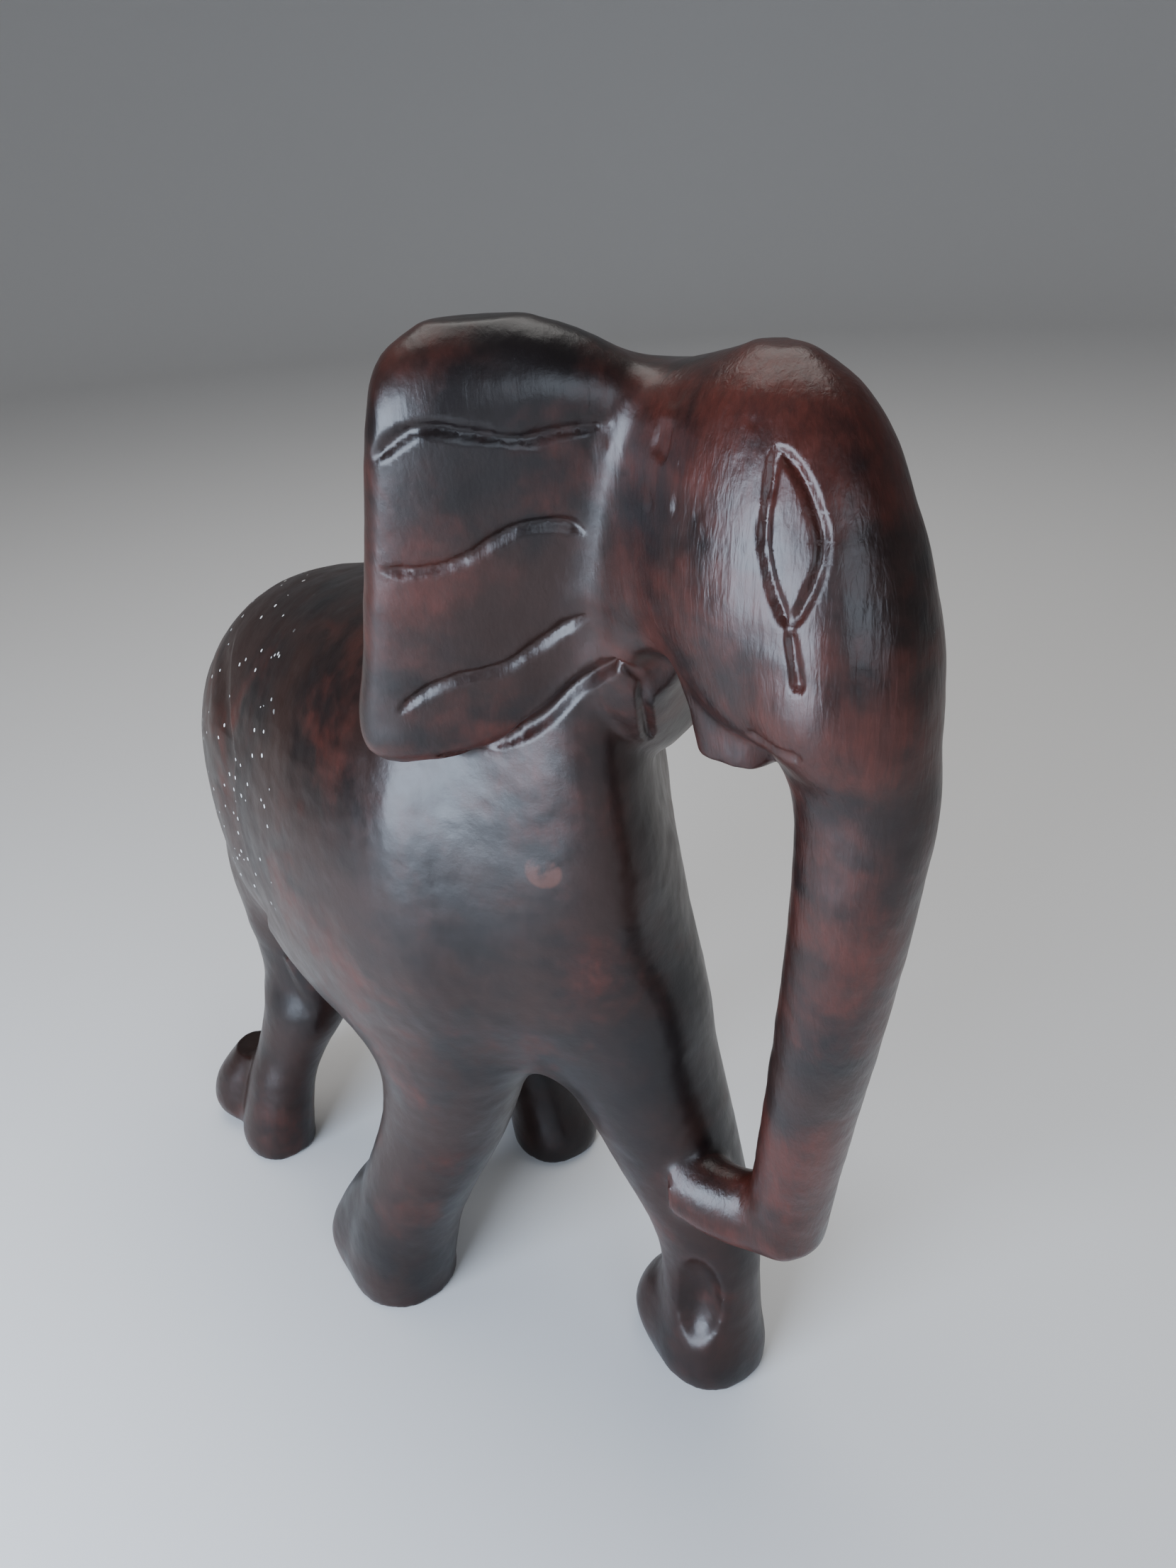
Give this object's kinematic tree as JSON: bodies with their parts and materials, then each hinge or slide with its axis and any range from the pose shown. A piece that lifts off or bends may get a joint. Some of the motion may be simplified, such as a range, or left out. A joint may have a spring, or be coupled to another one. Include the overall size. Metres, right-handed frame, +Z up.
{
  "type": "carved wooden elephant figurine",
  "caption": "Dark stained wooden elephant carving, walking, with flared ears and a long trunk that rests on its left foreleg.",
  "frame": {"origin": "middle of the bounding box, on the surface that the feet stand on", "axes": "+Z up, -Y the way the elephant faces, -X its right side"},
  "size_m": [0.1194, 0.3126, 0.3255],
  "materials": {
    "body_wood": "very dark brown-black stain with reddish mottling, satin wax",
    "head_wood": "dark red-brown stain, satin wax, fine tool scratches",
    "ear_wood": "dark brown stain with worn reddish patches, satin wax",
    "leg_wood": "very dark brown stain, satin wax"
  },
  "bodies": {
    "root": {"torso": "body_wood", "head": "head_wood", "trunk": "head_wood", "lower_jaw": "head_wood", "right_ear": "ear_wood", "left_ear": "ear_wood", "right_foreleg": "leg_wood", "left_foreleg": "leg_wood", "right_hind_leg": "leg_wood", "left_hind_leg": "leg_wood", "tail": "body_wood"}
  },
  "joints": []
}
